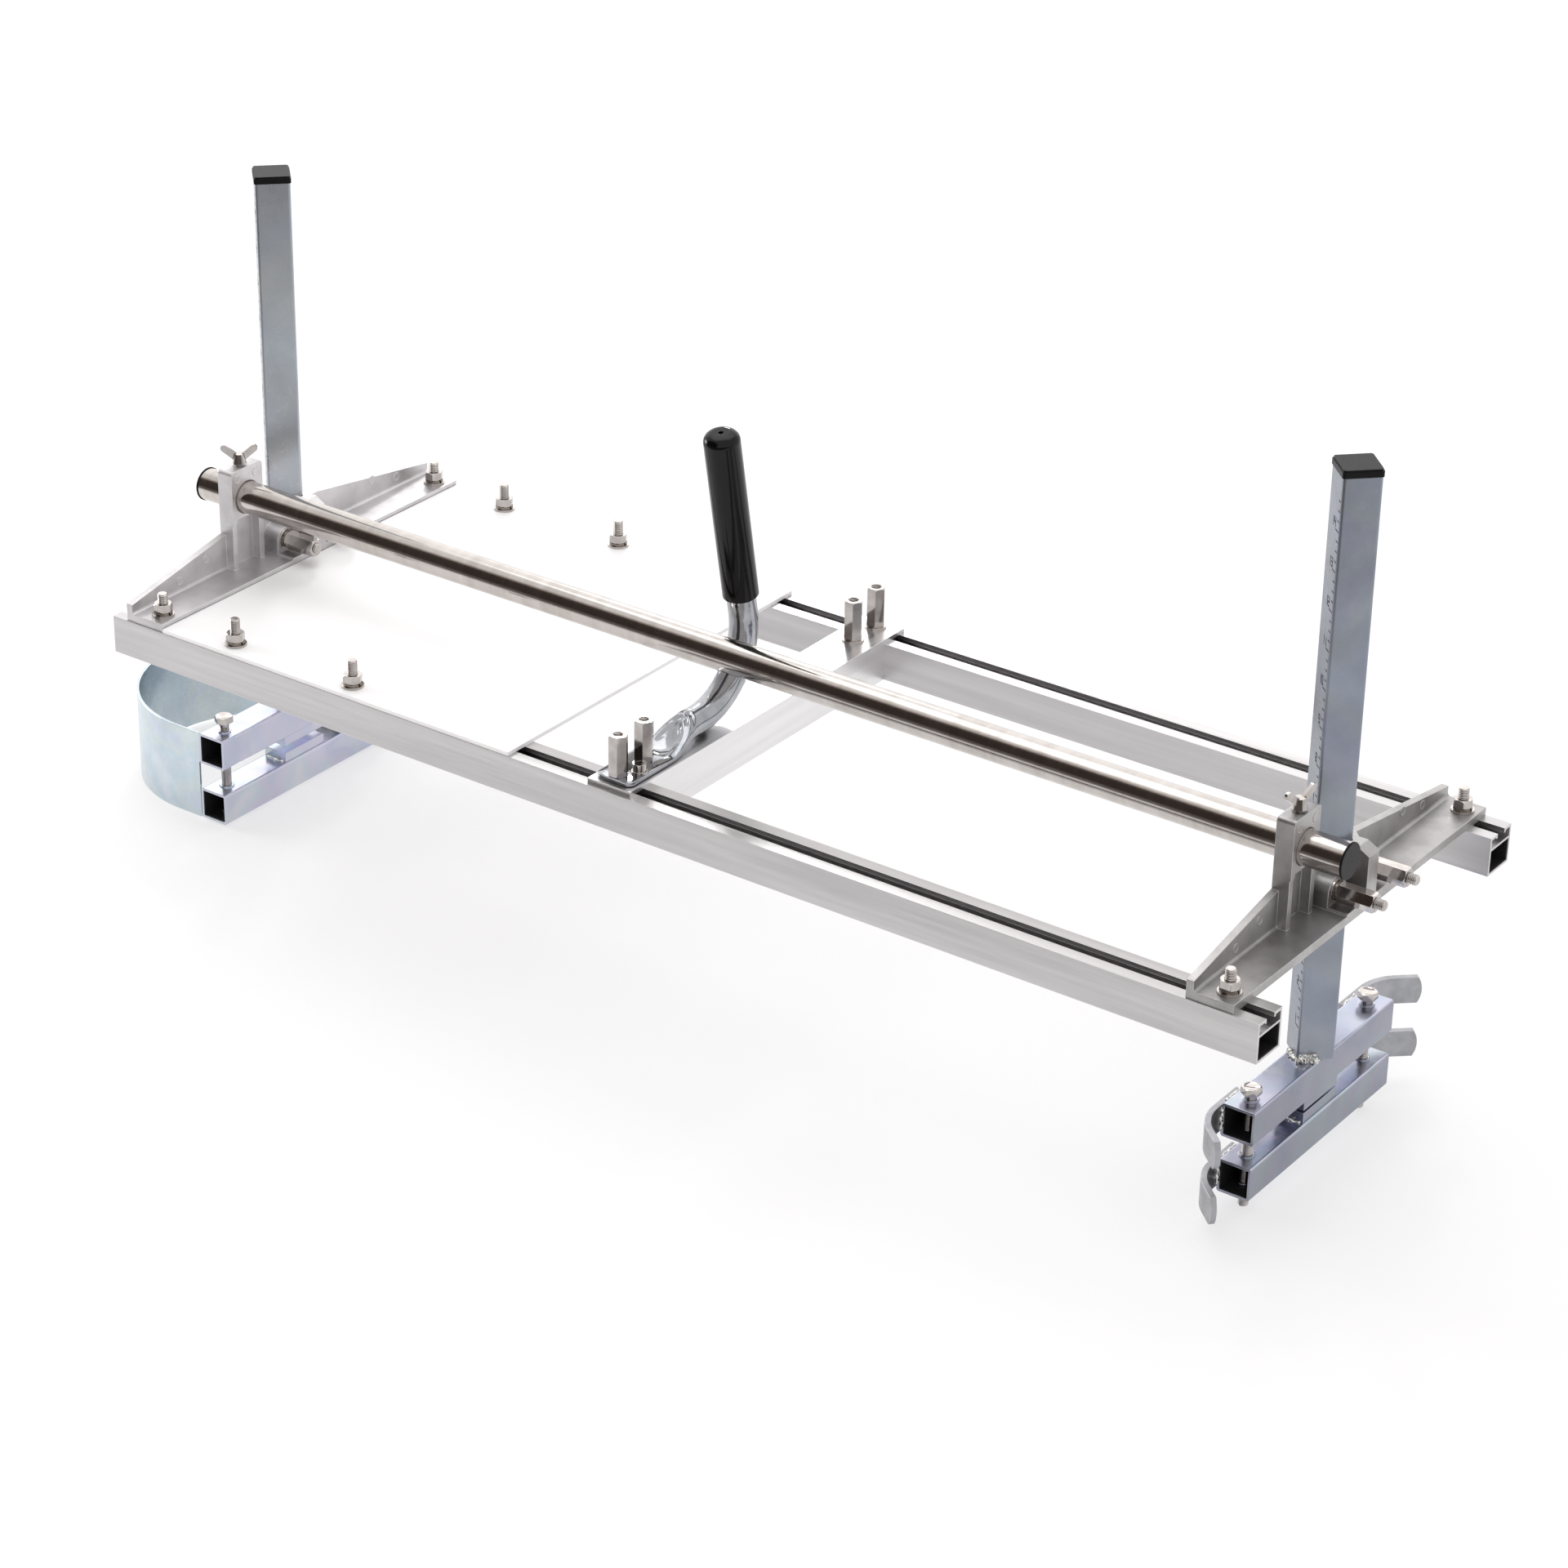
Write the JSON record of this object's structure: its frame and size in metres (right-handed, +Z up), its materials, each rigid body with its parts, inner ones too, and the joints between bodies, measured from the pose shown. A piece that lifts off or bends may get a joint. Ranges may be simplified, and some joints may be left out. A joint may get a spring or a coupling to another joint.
{
  "type": "chainsaw log cutting frame",
  "caption": "Slotted-rail frame that guides a chainsaw through a log, with cast end brackets, sliding posts with clamp jaws, a push bar and a bent handle.",
  "frame": {"origin": "on the floor under the middle of the whole part's bounding box", "axes": "+X along the rails towards the end with the log dogs, +Y from the rail with the handle to the other rail, +Z up"},
  "size_m": [1.134, 0.35, 0.5285],
  "materials": {
    "rail_aluminium": "satin anodised extrusion",
    "deck_sheet": "smooth pale sheet",
    "cross_aluminium": "satin anodised extrusion",
    "cast_aluminium": "blasted casting",
    "bright_fastener": "bright nickel-plated steel",
    "handle_chrome": "polished plated tube",
    "grip_black": "dipped gloss black",
    "stainless_tube": "polished stainless tube",
    "cap_black": "satin black",
    "zinc_steel": "zinc-plated steel"
  },
  "bodies": {
    "frame": {"rail_near": "rail_aluminium", "rail_far": "rail_aluminium", "deck_plate": "deck_sheet", "frame_slot_bolts": "bright_fastener", "frame_washers": "bright_fastener", "frame_spring_washers": "bright_fastener", "frame_nuts": "bright_fastener", "cross_member": "cross_aluminium", "cross_plain_bolts": "bright_fastener", "cross_long_nuts": "bright_fastener", "handle_tube": "handle_chrome", "handle_grip": "grip_black", "handle_screw": "handle_chrome", "handle_screw_washer": "handle_chrome", "bracket_left": "cast_aluminium", "u_bolt_left": "bright_fastener", "u_bolt_washers_left": "bright_fastener", "u_bolt_springs_left": "bright_fastener"},
    "push_bar": {"push_bar": "stainless_tube", "push_bar_caps": "cap_black"},
    "carriage": {"bracket_right": "cast_aluminium", "bracket_slot_bolts": "bright_fastener", "bracket_washers": "bright_fastener", "bracket_spring_washers": "bright_fastener", "bracket_nuts": "bright_fastener", "u_bolt_right": "bright_fastener", "u_bolt_washers_right": "bright_fastener", "u_bolt_springs_right": "bright_fastener"},
    "post_left": {"post_left": "zinc_steel", "post_cap_left": "cap_black", "upper_jaw_left": "zinc_steel", "upper_pad_left": "zinc_steel", "nose_guard": "zinc_steel"},
    "post_right": {"post_right": "zinc_steel", "post_cap_right": "cap_black", "upper_jaw_right": "zinc_steel", "upper_pad_right": "zinc_steel", "dog_upper_near": "zinc_steel", "dog_upper_far": "zinc_steel"},
    "jaw_left": {"lower_jaw_left": "zinc_steel", "lower_pad_left": "zinc_steel"},
    "jaw_right": {"lower_jaw_right": "zinc_steel", "lower_pad_right": "zinc_steel", "dog_lower_near": "zinc_steel", "dog_lower_far": "zinc_steel"},
    "jaw_bolt_left_near": {"jaw_bolt_left_near": "bright_fastener"},
    "jaw_bolt_left_far": {"jaw_bolt_left_far": "bright_fastener"},
    "jaw_bolt_right_near": {"jaw_bolt_right_near": "bright_fastener"},
    "jaw_bolt_right_far": {"jaw_bolt_right_far": "bright_fastener"},
    "clamp_nut_left_near": {"clamp_nut_left_near": "bright_fastener"},
    "clamp_nut_left_far": {"clamp_nut_left_far": "bright_fastener"},
    "clamp_nut_right_near": {"clamp_nut_right_near": "bright_fastener"},
    "clamp_nut_right_far": {"clamp_nut_right_far": "bright_fastener"},
    "wing_screw_left": {"wing_screw_left": "bright_fastener"},
    "wing_screw_right": {"wing_screw_right": "bright_fastener"}
  },
  "joints": [
    {"name": "push_bar_slide", "type": "slide", "parent": "frame", "child": "push_bar", "axis": [1, 0, 0], "range_m": [-0.018, 0.024]},
    {"name": "carriage_slide", "type": "slide", "parent": "frame", "child": "carriage", "axis": [1, 0, 0], "range_m": [-0.43, 0.012]},
    {"name": "post_left_slide", "type": "slide", "parent": "frame", "child": "post_left", "axis": [0, 0, 1], "range_m": [-0.25, 0.09]},
    {"name": "post_right_slide", "type": "slide", "parent": "carriage", "child": "post_right", "axis": [0, 0, 1], "range_m": [-0.25, 0.09]},
    {"name": "jaw_left_slide", "type": "slide", "parent": "post_left", "child": "jaw_left", "axis": [0, 0, 1], "range_m": [-0.002, 0.006]},
    {"name": "jaw_bolt_left_near_turn", "type": "hinge", "parent": "post_left", "child": "jaw_bolt_left_near", "pos_m": [-0.43205, -0.074, 0.031], "axis": [0, 0, 1], "range_deg": [-1733, 581]},
    {"name": "jaw_bolt_left_far_turn", "type": "hinge", "parent": "post_left", "child": "jaw_bolt_left_far", "pos_m": [-0.43205, 0.088, 0.031], "axis": [0, 0, 1], "range_deg": [-1733, 581]},
    {"name": "jaw_right_slide", "type": "slide", "parent": "post_right", "child": "jaw_right", "axis": [0, 0, 1], "range_m": [-0.012, 0.0022]},
    {"name": "jaw_bolt_right_near_turn", "type": "hinge", "parent": "post_right", "child": "jaw_bolt_right_near", "pos_m": [0.50795, -0.074, 0.031], "axis": [0, 0, 1], "range_deg": [-638.6, 3461]},
    {"name": "jaw_bolt_right_far_turn", "type": "hinge", "parent": "post_right", "child": "jaw_bolt_right_far", "pos_m": [0.50795, 0.088, 0.031], "axis": [0, 0, 1], "range_deg": [-638.6, 3461]},
    {"name": "clamp_nut_left_near_turn", "type": "hinge", "parent": "frame", "child": "clamp_nut_left_near", "pos_m": [-0.39405, -0.01548, 0.229], "axis": [1, 0, 0], "continuous": true},
    {"name": "clamp_nut_left_far_turn", "type": "hinge", "parent": "frame", "child": "clamp_nut_left_far", "pos_m": [-0.39405, 0.02948, 0.229], "axis": [1, 0, 0], "continuous": true},
    {"name": "wing_screw_left_turn", "type": "hinge", "parent": "frame", "child": "wing_screw_left", "pos_m": [-0.42505, -0.05, 0.311], "axis": [0, 0, 1], "continuous": true},
    {"name": "clamp_nut_right_near_turn", "type": "hinge", "parent": "carriage", "child": "clamp_nut_right_near", "pos_m": [0.54595, -0.01548, 0.229], "axis": [1, 0, 0], "continuous": true},
    {"name": "clamp_nut_right_far_turn", "type": "hinge", "parent": "carriage", "child": "clamp_nut_right_far", "pos_m": [0.54595, 0.02948, 0.229], "axis": [1, 0, 0], "continuous": true},
    {"name": "wing_screw_right_turn", "type": "hinge", "parent": "carriage", "child": "wing_screw_right", "pos_m": [0.51495, -0.05, 0.311], "axis": [0, 0, 1], "continuous": true}
  ],
  "couplings": [
    {"joint": "jaw_bolt_left_near_turn", "follows": "jaw_left_slide", "rad_per_m": -5026.5},
    {"joint": "jaw_bolt_left_far_turn", "follows": "jaw_left_slide", "rad_per_m": -5026.5},
    {"joint": "jaw_bolt_right_near_turn", "follows": "jaw_right_slide", "rad_per_m": -5026.5},
    {"joint": "jaw_bolt_right_far_turn", "follows": "jaw_right_slide", "rad_per_m": -5026.5}
  ]
}
